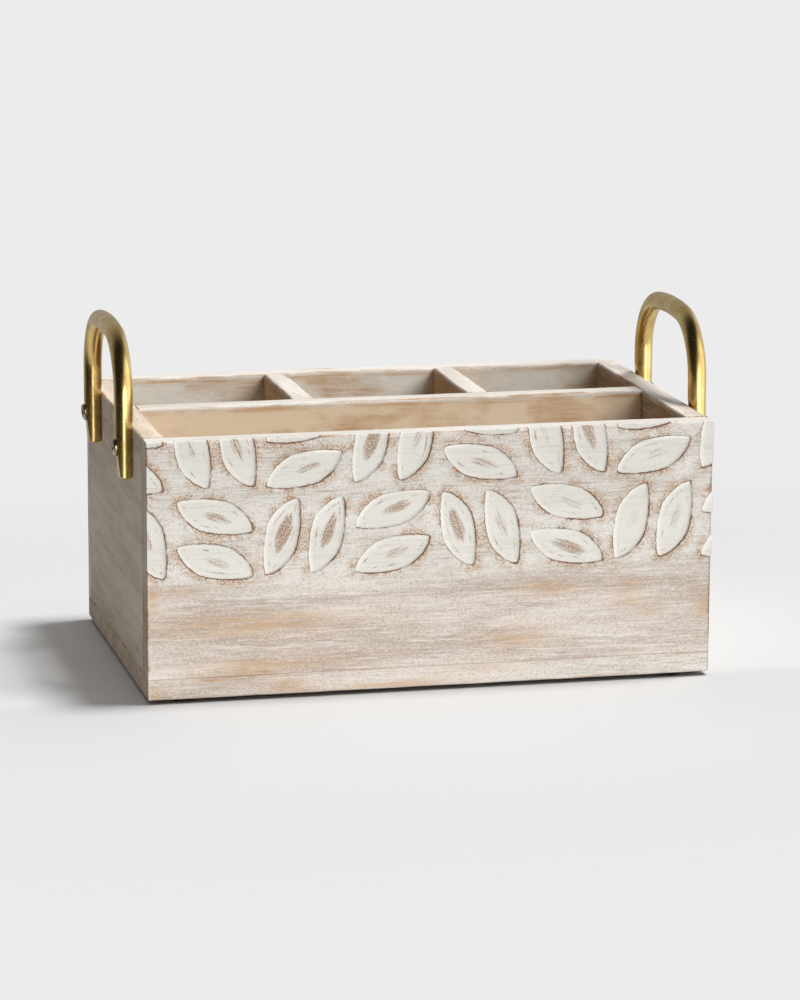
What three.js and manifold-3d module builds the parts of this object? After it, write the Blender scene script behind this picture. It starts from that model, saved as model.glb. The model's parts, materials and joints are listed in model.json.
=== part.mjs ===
// A wooden utensil caddy: a box of eased boards with one long and two cross dividers, a front
// carved with pairs of raised leaves, a bent brass handle screwed to each end and four thin feet.
// Millimetres. X runs along the front, Y from front to back and Z up, from the middle of the
// rectangle that the caddy covers on the surface under it.
import * as THREE from "three";
import { mergeVertices } from "three/addons/utils/BufferGeometryUtils.js";
import Module from "manifold-3d";

const wasm = await Module();
wasm.setup();

// The box, its boards and the radii on their edges
const box = { length: 300, depth: 192, height: 135 };
const board = { wall: 12, divider: 12, base: 11 };
const ease = { outer: 1.6, rim: 1.3, steps: 3 };
const dividers = { longShift: 1.5, crossShift: 1.1 };

// The gaps between glued boards, round driven fasteners and under what is screwed on
const fit = { glueLine: 0.05, driven: 0.15, seat: 0.3 };
const overrun = 3;

// The raised leaves: each cell holds a pair of leaves, turned a quarter from the cells beside it.
// A leaf's widest places are drawn apart along it, one to each end, by a share of its width.
const carving = {
  pitch: 46.45,
  firstColumn: 35.3,
  rowBelowRim: 5,
  rows: 2,
  leafLength: 42,
  leafWidth: 18.6,
  drawShare: 0.46,
  pairSpacing: 23.5,
  tilt: THREE.MathUtils.degToRad(23.5),
  height: 1,
  shoulder: 2,
  arcSteps: 8,
};

// The handles: a round rod bent to a low arch, with a slanted flat for each screw
const handle = {
  rod: 9.8,
  span: 100,
  shift: -2.5,
  drop: 26.5,
  rise: 46,
  bend: 32,
  crownAngle: THREE.MathUtils.degToRad(7),
  endEase: 0.8,
  flatLength: 23,
  flatDepth: 2.4,
  seatDepth: 1.2,
  seatRun: 6,
  screwShare: 0.7,
  sides: 16,
  steps: 40,
};

// The feet: thin discs glued under the base board's corners
const foot = { diameter: 15, thickness: 2, ease: 0.4, fromEnd: 20, fromFace: 11, sides: 12 };

// The fasteners
const panScrew = { head: 9, headHeight: 1.9, shank: 4, point: 3, biteShare: 0.8, sides: 16 };
const panCross = { width: 1.3, reachShare: 0.6, depthShare: 0.7 };
const baseScrew = { head: 7, headHeight: 2.6, rim: 0.5, shank: 3.5, length: 25, point: 4, sides: 10 };
const baseCross = { width: 1, reachShare: 0.6, depthShare: 0.7 };
const brad = { head: 2.2, headHeight: 0.8, shank: 1.4, length: 30, point: 2, sunk: 1, sides: 8 };

// The pan head's dome from its top down, as shares of its radius and height
const domeShares = [
  [0.5, 0.05],
  [0.76, 0.17],
  [0.93, 0.38],
  [1, 0.65],
  [1, 1],
];

// Where the fasteners go, as shares of the walls' height or of the joint's length
const frameBradShares = [0.12, 0.36, 0.76];
const dividerBradShares = [0.25, 0.75];
const panelScrewShares = [-0.34, 0, 0.34];
const dividerScrewShares = [-0.3, 0.3];

const washedWood = new THREE.MeshStandardMaterial({ color: 0xded6cd, roughness: 0.85, metalness: 0 });
const brass = new THREE.MeshStandardMaterial({ color: 0xb08d4f, roughness: 0.35, metalness: 1 });
const darkSteel = new THREE.MeshStandardMaterial({ color: 0x2e2a27, roughness: 0.45, metalness: 1 });
const brightSteel = new THREE.MeshStandardMaterial({ color: 0x9a9a96, roughness: 0.4, metalness: 1 });
const blackRubber = new THREE.MeshStandardMaterial({ color: 0x1c1b1a, roughness: 0.9, metalness: 0 });

const along = {
  x: new THREE.Vector3(1, 0, 0),
  y: new THREE.Vector3(0, 1, 0),
  z: new THREE.Vector3(0, 0, 1),
};
const sides = [
  { name: "left", sign: -1 },
  { name: "right", sign: 1 },
];

// Sizes that follow from those above
const wallHeight = box.height - board.base - fit.glueLine;
const wallMiddle = box.height - wallHeight / 2;
const innerLength = box.length - 2 * board.wall;
const innerDepth = box.depth - 2 * board.wall;
const endMiddle = (box.length - board.wall) / 2;
const faceMiddle = (box.depth - board.wall) / 2;
const rearStart = dividers.longShift + board.divider / 2;
const rearMiddle = (rearStart + innerDepth / 2) / 2;
const crossOffset = (innerLength + board.divider) / 6;
const crossMiddle = (sign) => sign * crossOffset + dividers.crossShift;

// A closed geometry as a solid that can be cut
function solidOf(geometry) {
  const bare = geometry.clone();
  bare.deleteAttribute("normal");
  bare.deleteAttribute("uv");
  const merged = mergeVertices(bare);
  return new wasm.Manifold(
    new wasm.Mesh({
      numProp: 3,
      vertProperties: merged.attributes.position.array,
      triVerts: new Uint32Array(merged.index.array),
    }),
  );
}

// A solid as a geometry with flat faces
function geometryOf(solid) {
  const mesh = solid.getMesh();
  const shared = new THREE.BufferGeometry();
  shared.setAttribute("position", new THREE.BufferAttribute(mesh.vertProperties, mesh.numProp));
  shared.setIndex(new THREE.BufferAttribute(mesh.triVerts, 1));
  const flat = shared.toNonIndexed();
  flat.computeVertexNormals();
  return flat;
}

function cut(geometry, cutters) {
  let solid = solidOf(geometry);
  for (const cutter of cutters) {
    solid = solid.subtract(solidOf(cutter));
  }
  return geometryOf(solid);
}

// A board with relief on it, which is trimmed to the block given
function raise(geometry, reliefs, block) {
  let solid = solidOf(geometry);
  for (const relief of reliefs) {
    solid = solid.add(solidOf(relief).intersect(solidOf(block)));
  }
  return geometryOf(solid);
}

function pieceOf(name, geometry, material) {
  const mesh = new THREE.Mesh(geometry, material);
  mesh.name = name;
  return mesh;
}

// A rectangle about the origin whose corners, anticlockwise from low left, have the radii given
function roundedRectangle(width, height, radii) {
  const cornerSigns = [
    [-1, -1],
    [1, -1],
    [1, 1],
    [-1, 1],
  ];
  const points = cornerSigns.flatMap(([signX, signY], corner) => {
    const radius = radii[corner];
    const centre = new THREE.Vector2(signX * (width / 2 - radius), signY * (height / 2 - radius));
    const steps = radius > 0 ? ease.steps : 0;
    return Array.from({ length: steps + 1 }, (_, step) => {
      const angle = (Math.PI / 2) * (2 + corner + (steps > 0 ? step / steps : 0));
      const arm = new THREE.Vector2(Math.cos(angle), Math.sin(angle));
      return arm.multiplyScalar(radius).add(centre);
    });
  });
  return new THREE.Shape(points);
}

// An outline extruded evenly to both sides of its plane
function extrudeBothWays(outline, length) {
  const geometry = new THREE.ExtrudeGeometry(outline, { depth: length, bevelEnabled: false });
  return geometry.translate(0, 0, -length / 2);
}

// A board about its own middle: what its plan, its front view and its side view share,
// each a rectangle with the corner radii given
function easedBoard([length, depth, height], { plan, front, side }) {
  const fromAbove = extrudeBothWays(roundedRectangle(length, depth, plan), height);
  const fromFront = extrudeBothWays(roundedRectangle(length, height, front), depth);
  fromFront.rotateX(Math.PI / 2);
  const fromSide = extrudeBothWays(roundedRectangle(depth, height, side), length);
  fromSide.applyMatrix4(new THREE.Matrix4().makeBasis(along.y, along.z, along.x));
  return geometryOf(solidOf(fromAbove).intersect(solidOf(fromFront)).intersect(solidOf(fromSide)));
}

// A piece revolved about +Z from pairs of radius and height, which start and end on the axis
// or close on themselves
function revolve(profile, sideCount) {
  const points = profile.map(([radius, height]) => new THREE.Vector2(radius, height));
  return new THREE.LatheGeometry(points, sideCount).rotateX(Math.PI / 2);
}

// The matrix that puts a fastener's head at a point and turns its +Z to the way it is driven
function drivenAt(point, direction) {
  const turn = new THREE.Quaternion().setFromUnitVectors(along.z, direction);
  return new THREE.Matrix4().compose(point, turn, new THREE.Vector3(1, 1, 1));
}

// The profiles run from the head at zero to the point, and grow on all sides for the bore
function bradProfile(grow) {
  return [
    [0, -grow],
    [brad.head / 2 + grow, -grow],
    [brad.head / 2 + grow, brad.headHeight + grow],
    [brad.shank / 2 + grow, brad.headHeight + grow],
    [brad.shank / 2 + grow, brad.length - brad.point],
    [0, brad.length + grow],
  ];
}

function baseScrewProfile(grow, top) {
  return [
    [0, -top],
    [baseScrew.head / 2 + grow, -top],
    [baseScrew.head / 2 + grow, baseScrew.rim],
    [baseScrew.shank / 2 + grow, baseScrew.headHeight],
    [baseScrew.shank / 2 + grow, baseScrew.length - baseScrew.point],
    [0, baseScrew.length + grow],
  ];
}

function panScrewShank(top, length, grow) {
  return [
    [0, top],
    [panScrew.shank / 2 + grow, top],
    [panScrew.shank / 2 + grow, length - panScrew.point],
    [0, length + grow],
  ];
}

// A cross-shaped drive recess in the head of a screw
function crossRecess(screw, cross) {
  const reach = screw.head * cross.reachShare;
  const depth = screw.headHeight * cross.depthShare;
  return [
    new THREE.BoxGeometry(reach, cross.width, depth + overrun),
    new THREE.BoxGeometry(cross.width, reach, depth + overrun),
  ].map((slot) => slot.translate(0, 0, (depth - overrun) / 2));
}

// The handles' own frame: +X points out from the end panel and Y is zero midway between the legs
const rodPlane = box.length / 2 + fit.seat - handle.seatDepth + handle.rod / 2;
const legEnd = box.height - handle.drop;
const flatSlant = Math.hypot(handle.flatLength, handle.flatDepth) / handle.flatLength;
const flatNormal = new THREE.Vector3(handle.flatLength, 0, -handle.flatDepth).normalize();
const screwInset = (1 - handle.screwShare) * handle.flatDepth;
const legThickness = handle.rod - handle.seatDepth;
const screwReach = legThickness - screwInset + fit.seat + panScrew.biteShare * board.wall;
const panScrewLength = panScrew.headHeight + fit.driven + screwReach * flatSlant;

// The middle line of the rod: two legs, two corner bends and a flatter crown, each half alike
class HandleLine extends THREE.Curve {
  constructor() {
    super();
    const outward = handle.span / 2 - handle.bend;
    this.crownRadius = handle.bend + outward / Math.sin(handle.crownAngle);
    this.top = box.height + handle.rise;
    const sag = this.crownRadius - (this.crownRadius - handle.bend) * Math.cos(handle.crownAngle);
    this.spring = this.top - sag;
    this.leg = this.spring - legEnd;
    this.corner = handle.bend * (Math.PI / 2 - handle.crownAngle);
    this.half = this.leg + this.corner + this.crownRadius * handle.crownAngle;
  }

  getPoint(share, target = new THREE.Vector3()) {
    const side = share > 0.5 ? 1 : -1;
    const distance = this.half * (1 - Math.abs(1 - 2 * share));
    if (distance <= this.leg) {
      return target.set(rodPlane, (side * handle.span) / 2, legEnd + distance);
    }
    if (distance <= this.leg + this.corner) {
      const angle = (distance - this.leg) / handle.bend;
      const y = handle.span / 2 - handle.bend * (1 - Math.cos(angle));
      return target.set(rodPlane, side * y, this.spring + handle.bend * Math.sin(angle));
    }
    const angle = (this.half - distance) / this.crownRadius;
    const y = this.crownRadius * Math.sin(angle);
    return target.set(rodPlane, side * y, this.top - this.crownRadius * (1 - Math.cos(angle)));
  }
}

// What is filed off the outside of a leg to seat its screw square to a slanted flat
function flatCutter(legY) {
  const outside = rodPlane + handle.rod / 2;
  const drift = (handle.flatDepth * overrun) / handle.flatLength;
  const outline = new THREE.Shape([
    new THREE.Vector2(outside + drift, legEnd + handle.flatLength + overrun),
    new THREE.Vector2(outside - handle.flatDepth - drift, legEnd - overrun),
    new THREE.Vector2(outside + overrun, legEnd - overrun),
    new THREE.Vector2(outside + overrun, legEnd + handle.flatLength + overrun),
  ]);
  return extrudeBothWays(outline, handle.rod + 2 * overrun)
    .rotateX(Math.PI / 2)
    .translate(0, legY, 0);
}

// What is filed off the inside of a leg to seat it on the end panel, run out above the rim
function seatCutter(legY) {
  const inside = rodPlane - handle.rod / 2;
  const drift = (handle.seatDepth * overrun) / handle.seatRun;
  const seatTop = box.height + fit.seat;
  const outline = new THREE.Shape([
    new THREE.Vector2(inside - overrun, legEnd - overrun),
    new THREE.Vector2(inside + handle.seatDepth, legEnd - overrun),
    new THREE.Vector2(inside + handle.seatDepth, seatTop),
    new THREE.Vector2(inside - drift, seatTop + handle.seatRun + overrun),
    new THREE.Vector2(inside - overrun, seatTop + handle.seatRun + overrun),
  ]);
  return extrudeBothWays(outline, handle.rod + 2 * overrun)
    .rotateX(Math.PI / 2)
    .translate(0, legY, 0);
}

// The ring that eases the end of a leg
function legEndCutter(legY) {
  const ring = [
    [handle.rod / 2 - handle.endEase - overrun / 2, -overrun / 2],
    [handle.rod / 2 + overrun, -overrun / 2],
    [handle.rod / 2 + overrun, handle.endEase + overrun],
  ];
  return revolve([...ring, ring[0]], handle.sides).translate(rodPlane, legY, legEnd);
}

// Each handle screw in the handle's frame
const handleScrews = [
  { name: "front", sign: -1 },
  { name: "back", sign: 1 },
].map(({ name, sign }) => {
  const onFlat = new THREE.Vector3(
    rodPlane + handle.rod / 2 - screwInset,
    (sign * handle.span) / 2,
    legEnd + handle.screwShare * handle.flatLength,
  );
  const headTop = onFlat.addScaledVector(flatNormal, panScrew.headHeight + fit.driven);
  return { name, sign, matrix: drivenAt(headTop, flatNormal.clone().negate()) };
});

const panBore = revolve(
  panScrewShank(panScrew.headHeight - overrun, panScrewLength, fit.driven),
  panScrew.sides,
);

function handleGeometry() {
  const section = new THREE.Shape().absarc(0, 0, handle.rod / 2, 0, 2 * Math.PI);
  const rod = new THREE.ExtrudeGeometry(section, {
    steps: handle.steps,
    curveSegments: handle.sides / 2,
    bevelEnabled: false,
    extrudePath: new HandleLine(),
  });
  const cutters = handleScrews.flatMap(({ sign, matrix }) => {
    const legY = (sign * handle.span) / 2;
    const bore = panBore.clone().applyMatrix4(matrix);
    return [flatCutter(legY), seatCutter(legY), legEndCutter(legY), bore];
  });
  return cut(rod, cutters);
}

function panScrewGeometry() {
  const dome = domeShares.map(([radiusShare, heightShare]) => [
    (radiusShare * panScrew.head) / 2,
    heightShare * panScrew.headHeight,
  ]);
  const shank = panScrewShank(panScrew.headHeight, panScrewLength, 0);
  const body = revolve([[0, 0], ...dome, ...shank.slice(1)], panScrew.sides);
  return cut(body, crossRecess(panScrew, panCross));
}

// A handle with its screws, turned about so that its +X points out at either end
function handleAssembly({ name, sign }) {
  const assembly = new THREE.Group();
  assembly.add(pieceOf(`${name}_handle`, handleGeometry(), brass));
  for (const screw of handleScrews) {
    const end = sign * screw.sign > 0 ? "back" : "front";
    const mesh = pieceOf(`${name}_handle_screw_${end}`, panScrewGeometry(), darkSteel);
    mesh.applyMatrix4(screw.matrix);
    assembly.add(mesh);
  }
  assembly.position.y = handle.shift;
  assembly.rotation.z = sign > 0 ? 0 : Math.PI;
  assembly.updateMatrixWorld(true);
  return assembly;
}

const handles = sides.map(handleAssembly);

// The brads, whose heads are sunk and filled over, and the screws that hold the base from below
const bradKind = {
  body: revolve(bradProfile(0), brad.sides),
  bore: revolve(bradProfile(fit.driven), brad.sides),
  material: brightSteel,
};
const baseScrewKind = {
  body: cut(revolve(baseScrewProfile(0, 0), baseScrew.sides), crossRecess(baseScrew, baseCross)),
  bore: revolve(baseScrewProfile(fit.driven, overrun), baseScrew.sides),
  material: brightSteel,
};
const fasteners = [];

function drive(kind, name, joins, point, direction) {
  fasteners.push({ kind, name, joins, matrix: drivenAt(new THREE.Vector3(...point), direction) });
}

function driveBrads(name, joins, heightShares, [x, y], direction) {
  heightShares.forEach((share, i) => {
    const height = board.base + share * wallHeight;
    drive(bradKind, `${name}_brad_${i + 1}`, joins, [x, y, height], direction);
  });
}

function driveBaseScrew(name, panel, x, y) {
  drive(baseScrewKind, `base_screw_${name}`, ["base_board", panel], [x, y, fit.seat], along.z);
}

const faces = [
  { name: "front", sign: -1 },
  { name: "back", sign: 1 },
];
for (const face of faces) {
  const inward = along.y.clone().multiplyScalar(-face.sign);
  const headY = face.sign * (box.depth / 2 - brad.sunk);
  for (const side of sides) {
    const joins = [`${face.name}_panel`, `${side.name}_end_panel`];
    driveBrads(`${face.name}_${side.name}`, joins, frameBradShares, [side.sign * endMiddle, headY], inward);
  }
  panelScrewShares.forEach((share, i) => {
    const x = share * box.length;
    driveBaseScrew(`${face.name}_${i + 1}`, `${face.name}_panel`, x, face.sign * faceMiddle);
  });
}
for (const side of sides) {
  const inward = along.x.clone().multiplyScalar(-side.sign);
  const headX = side.sign * (box.length / 2 - brad.sunk);
  const endPanel = `${side.name}_end_panel`;
  const cross = `${side.name}_cross_divider`;
  const crossX = crossMiddle(side.sign);
  const longHeadY = dividers.longShift - board.divider / 2 + brad.sunk;
  const backHeadY = box.depth / 2 - brad.sunk;
  driveBrads(
    `long_divider_${side.name}`,
    [endPanel, "long_divider"],
    dividerBradShares,
    [headX, dividers.longShift],
    inward,
  );
  driveBrads(`${cross}_front`, ["long_divider", cross], dividerBradShares, [crossX, longHeadY], along.y);
  driveBrads(
    `${cross}_back`,
    ["back_panel", cross],
    dividerBradShares,
    [crossX, backHeadY],
    along.y.clone().negate(),
  );
  driveBaseScrew(side.name, endPanel, side.sign * endMiddle, 0);
  driveBaseScrew(`cross_${side.name}`, cross, crossX, rearMiddle);
}
dividerScrewShares.forEach((share, i) => {
  driveBaseScrew(`long_${i + 1}`, "long_divider", share * innerLength, dividers.longShift);
});

// A leaf outline about the origin, blunt at both ends along X and drawn to one hand
function leafOutline(hand) {
  const upper = Array.from({ length: carving.arcSteps }, (_, i) => {
    const along = Math.cos((Math.PI * i) / carving.arcSteps);
    const y = (carving.leafWidth / 2) * (1 - Math.abs(along) ** 1.6) ** 0.75;
    return new THREE.Vector2((carving.leafLength / 2) * along + hand * carving.drawShare * y, y);
  });
  const lower = upper.map((point) => point.clone().negate());
  return new THREE.Shape([...upper, ...lower]);
}

// One leaf with rounded shoulders, rooted in the panel's face
function leafRelief(x, z, angle, hand) {
  const leaf = new THREE.ExtrudeGeometry(leafOutline(hand), {
    depth: overrun,
    bevelThickness: carving.height,
    bevelSize: carving.shoulder,
    bevelOffset: -carving.shoulder,
    bevelSegments: 2,
  });
  return leaf
    .rotateZ(angle)
    .rotateX(Math.PI / 2)
    .translate(x, overrun - box.depth / 2, z);
}

// The lattice of leaves: the lean changes every second column and the pair turns at every cell
function leafReliefs() {
  const reliefs = [];
  const firstX = -box.length / 2 + carving.firstColumn;
  const columnCount = Math.ceil((box.length - carving.firstColumn) / carving.pitch + 1 / 2);
  for (let column = -1; column < columnCount; column += 1) {
    const lean = (column + 1) % 4 < 2 ? 1 : -1;
    const x = firstX + carving.pitch * column;
    for (let row = 0; row < carving.rows; row += 1) {
      const z = box.height - carving.rowBelowRim - carving.pitch * row;
      const upright = (column + 1 + row) % 2 > 0;
      const angle = upright ? Math.PI / 2 + lean * carving.tilt : -lean * carving.tilt;
      const hand = upright ? -lean : lean;
      for (const offset of [-carving.pairSpacing / 2, carving.pairSpacing / 2]) {
        const [leafX, leafZ] = upright ? [x + offset, z] : [x, z + offset];
        reliefs.push(leafRelief(leafX, leafZ, angle, hand));
      }
    }
  }
  return reliefs;
}

// The boards, each with its middle, its size and the radii of its edges
const square = [0, 0, 0, 0];
const squareEdges = { plan: square, front: square, side: square };
const topEased = (radius) => [0, 0, radius, radius];
const bottomEased = [ease.outer, ease.outer, 0, 0];
const endPanelSize = [board.wall, innerDepth - 2 * fit.glueLine, wallHeight];
const boards = [
  {
    name: "base_board",
    middle: [0, 0, board.base / 2],
    size: [box.length, box.depth, board.base],
    edges: { plan: Array(4).fill(ease.outer), front: bottomEased, side: bottomEased },
  },
  {
    name: "front_panel",
    middle: [0, -faceMiddle, wallMiddle],
    size: [box.length, board.wall, wallHeight],
    edges: {
      plan: [ease.outer, ease.outer, 0, 0],
      front: topEased(ease.outer),
      side: [0, 0, ease.rim, ease.outer],
    },
    reliefs: leafReliefs(),
  },
  {
    name: "back_panel",
    middle: [0, faceMiddle, wallMiddle],
    size: [box.length, board.wall, wallHeight],
    edges: {
      plan: [0, 0, ease.outer, ease.outer],
      front: topEased(ease.outer),
      side: [0, 0, ease.outer, ease.rim],
    },
  },
  {
    name: "left_end_panel",
    middle: [-endMiddle, 0, wallMiddle],
    size: endPanelSize,
    edges: { plan: square, front: [0, 0, ease.rim, ease.outer], side: square },
  },
  {
    name: "right_end_panel",
    middle: [endMiddle, 0, wallMiddle],
    size: endPanelSize,
    edges: { plan: square, front: [0, 0, ease.outer, ease.rim], side: square },
  },
  {
    name: "long_divider",
    middle: [0, dividers.longShift, wallMiddle],
    size: [innerLength - 2 * fit.glueLine, board.divider, wallHeight],
    edges: { plan: square, front: square, side: topEased(ease.rim) },
  },
  ...sides.map(({ name, sign }) => ({
    name: `${name}_cross_divider`,
    middle: [crossMiddle(sign), rearMiddle, wallMiddle],
    size: [board.divider, innerDepth / 2 - rearStart - 2 * fit.glueLine, wallHeight],
    edges: { plan: square, front: topEased(ease.rim), side: square },
  })),
];

// The bores of the handle screws in an end panel
function handleBores(side) {
  return handleScrews.map(({ matrix }) => panBore.clone().applyMatrix4(matrix).applyMatrix4(side.matrixWorld));
}

function boardMesh({ name, middle, size, edges, reliefs = [] }) {
  const bores = fasteners
    .filter(({ joins }) => joins.includes(name))
    .map(({ kind, matrix }) => kind.bore.clone().applyMatrix4(matrix));
  const screwed = sides.flatMap((side, i) => (name === `${side.name}_end_panel` ? handleBores(handles[i]) : []));
  const [length, depth, height] = size;
  const block = easedBoard([length, depth + 2 * carving.height, height], squareEdges).translate(...middle);
  const plain = easedBoard(size, edges).translate(...middle);
  return pieceOf(name, cut(raise(plain, reliefs, block), [...bores, ...screwed]), washedWood);
}

// A foot with its lower edge eased, from its underside up
function footMesh(face, side) {
  const radius = foot.diameter / 2;
  const disc = revolve(
    [
      [0, 0],
      [radius - foot.ease, 0],
      [radius, foot.ease],
      [radius, foot.thickness],
      [0, foot.thickness],
    ],
    foot.sides,
  );
  const mesh = pieceOf(`${face.name}_${side.name}_foot`, disc, blackRubber);
  mesh.position.x = side.sign * (box.length / 2 - foot.fromEnd);
  mesh.position.y = face.sign * (box.depth / 2 - foot.fromFace);
  mesh.position.z = -foot.thickness - fit.glueLine;
  return mesh;
}

// The caddy is modelled from the underside of its base board, then set on its feet, with the
// leaves' height counted in its depth
const caddy = new THREE.Group();
caddy.add(...boards.map(boardMesh), ...handles);
for (const { kind, name, matrix } of fasteners) {
  const mesh = pieceOf(name, kind.body, kind.material);
  mesh.applyMatrix4(matrix);
  caddy.add(mesh);
}
caddy.add(...faces.flatMap((face) => sides.map((side) => footMesh(face, side))));
caddy.position.set(0, carving.height / 2, foot.thickness + fit.glueLine);

export default caddy;
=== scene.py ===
import json
import math
import bpy
import numpy as np
from mathutils import Matrix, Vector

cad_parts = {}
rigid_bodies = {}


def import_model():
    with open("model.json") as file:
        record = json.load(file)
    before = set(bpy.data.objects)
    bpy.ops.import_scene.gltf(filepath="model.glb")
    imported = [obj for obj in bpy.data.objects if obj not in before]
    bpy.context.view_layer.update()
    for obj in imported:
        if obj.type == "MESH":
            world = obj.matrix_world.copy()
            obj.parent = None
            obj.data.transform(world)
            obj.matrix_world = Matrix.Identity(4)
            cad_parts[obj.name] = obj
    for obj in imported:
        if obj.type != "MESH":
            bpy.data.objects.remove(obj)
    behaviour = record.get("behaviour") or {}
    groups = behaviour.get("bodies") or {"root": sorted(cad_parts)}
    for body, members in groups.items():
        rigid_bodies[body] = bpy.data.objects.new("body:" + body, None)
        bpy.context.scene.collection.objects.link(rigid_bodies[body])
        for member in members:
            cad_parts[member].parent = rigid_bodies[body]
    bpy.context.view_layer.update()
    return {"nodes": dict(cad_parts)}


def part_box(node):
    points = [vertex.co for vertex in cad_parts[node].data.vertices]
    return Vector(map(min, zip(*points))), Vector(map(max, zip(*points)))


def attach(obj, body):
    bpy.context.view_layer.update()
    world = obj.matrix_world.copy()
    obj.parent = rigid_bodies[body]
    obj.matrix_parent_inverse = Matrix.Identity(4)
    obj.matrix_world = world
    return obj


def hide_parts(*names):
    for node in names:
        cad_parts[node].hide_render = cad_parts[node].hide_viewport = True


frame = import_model()
mm = 0.001
print("frame loaded")

# The camera: its place from the middle of the base board's underside in millimetres, and its turn in degrees
camera = {
    "place": (-498.6, -2134.7, 542.9), "yaw": 13.267, "pitch": 11.945, "roll": 0.305,
    "lens": 149.96, "sensorHeight": 36, "farthest": 100,
}
baseLow, baseHigh = (np.array(corner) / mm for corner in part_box("base_board"))
panelLow, panelHigh = (np.array(corner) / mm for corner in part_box("front_panel"))
middleY = (baseLow[1] + baseHigh[1]) / 2
rimZ = panelHigh[2]


def makeCamera():
    data = bpy.data.cameras.new("photoCamera")
    data.sensor_fit, data.sensor_height, data.lens = "VERTICAL", camera["sensorHeight"], camera["lens"]
    data.clip_end = camera["farthest"]
    holder = bpy.data.objects.new("photoCamera", data)
    turn = Matrix.Rotation(math.radians(-camera["yaw"]), 4, "Z")
    turn = turn @ Matrix.Rotation(math.radians(90 - camera["pitch"]), 4, "X")
    turn = turn @ Matrix.Rotation(math.radians(camera["roll"]), 4, "Z")
    x, y, z = camera["place"]
    holder.matrix_world = Matrix.Translation((x * mm, (y + middleY) * mm, (z + baseLow[2]) * mm)) @ turn
    bpy.context.scene.collection.objects.link(holder)
    bpy.context.scene.camera = holder


makeCamera()
bpy.context.scene.view_settings.view_transform = "Standard"


# Node helpers: a value is either a number, a colour or another node's output
def feed(tree, socket, value):
    if isinstance(value, bpy.types.NodeSocket):
        tree.links.new(value, socket)
    else:
        socket.default_value = value


def feedAll(tree, node, inputs):
    for key, value in inputs.items():
        feed(tree, node.inputs[key], value)


def addNode(tree, kind, inputs=None, **settings):
    node = tree.nodes.new(kind)
    for key, value in settings.items():
        setattr(node, key, value)
    feedAll(tree, node, inputs or {})
    return node


def calc(tree, operation, first, second=0.0):
    return addNode(tree, "ShaderNodeMath", {0: first, 1: second}, operation=operation).outputs[0]


# Eases from one share to another while the value goes from low to high
def step(tree, value, low, high, toLow=0.0, toHigh=1.0):
    inputs = {"Value": value, "From Min": low, "From Max": high, "To Min": toLow, "To Max": toHigh}
    return addNode(tree, "ShaderNodeMapRange", inputs, interpolation_type="SMOOTHSTEP").outputs[0]


def product(tree, *values):
    result = values[0]
    for value in values[1:]:
        result = calc(tree, "MULTIPLY", result, value)
    return result


def total(tree, *values):
    result = values[0]
    for value in values[1:]:
        result = calc(tree, "ADD", result, value)
    return result


def blendColours(tree, share, first, second, kind="MIX"):
    inputs = {0: share, 6: first, 7: second}
    return addNode(tree, "ShaderNodeMix", inputs, data_type="RGBA", blend_type=kind).outputs[2]


def blendValues(tree, share, first, second):
    return addNode(tree, "ShaderNodeMix", {0: share, 2: first, 3: second}).outputs[0]


def stretched(tree, place, scale, shift=(0, 0, 0)):
    inputs = {"Vector": place, "Location": shift, "Scale": scale}
    return addNode(tree, "ShaderNodeMapping", inputs).outputs[0]


def noise(tree, place, scale, detail=3.0, roughness=0.55, distortion=0.0):
    inputs = {"Vector": place, "Scale": scale, "Detail": detail, "Roughness": roughness}
    return addNode(tree, "ShaderNodeTexNoise", {**inputs, "Distortion": distortion}).outputs[0]


# A noise that is stretched along one axis
def longNoise(tree, place, scale, detail, roughness, shift=(0, 0, 0), distortion=0.0):
    return noise(tree, stretched(tree, place, scale, shift), 1, detail, roughness, distortion)


def attribute(tree, name, output="Fac"):
    return addNode(tree, "ShaderNodeAttribute", attribute_name=name).outputs[output]


def bumpNormal(tree, height, strength, distance):
    inputs = {"Height": height, "Strength": strength, "Distance": distance}
    return addNode(tree, "ShaderNodeBump", inputs).outputs[0]


# An sRGB colour from 0 to 255 as the linear numbers that a socket takes
def colour(red, green, blue):
    share = np.array([red, green, blue]) / 255
    linear = np.where(share > 0.04045, ((share + 0.055) / 1.055) ** 2.4, share / 12.92)
    return (*linear.tolist(), 1.0)


def newMaterial(name):
    material = bpy.data.materials.new(name)
    material.use_nodes = True
    return material, material.node_tree, material.node_tree.nodes["Principled BSDF"]


def newGroup(name, inputs, outputs):
    tree = bpy.data.node_groups.new(name, "ShaderNodeTree")
    for inOut, sockets in (("INPUT", inputs), ("OUTPUT", outputs)):
        for label, kind in sockets.items():
            tree.interface.new_socket(label, in_out=inOut, socket_type=f"NodeSocket{kind}")
    return tree, tree.nodes.new("NodeGroupInput").outputs, tree.nodes.new("NodeGroupOutput").inputs


# Mesh helpers: all shapes are worked out in millimetres, and tiny keeps a divisor from being 0
tiny = 1e-9
waves = {"count": 4, "shorter": 0.47, "weaker": 0.62, "seedTurn": 1.7, "waveTurn": 2.1, "height": 2.1}


# A smooth wander between about -1 and 1: a few sines, each shorter and weaker than the one before
def wobble(place, seed, longest):
    wander = 0
    for i in range(waves["count"]):
        length = longest * waves["shorter"] ** i
        turn = place * 2 * np.pi / length + seed * waves["seedTurn"] + i * waves["waveTurn"]
        wander = wander + np.sin(turn) * waves["weaker"] ** i
    return wander / waves["height"]


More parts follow.
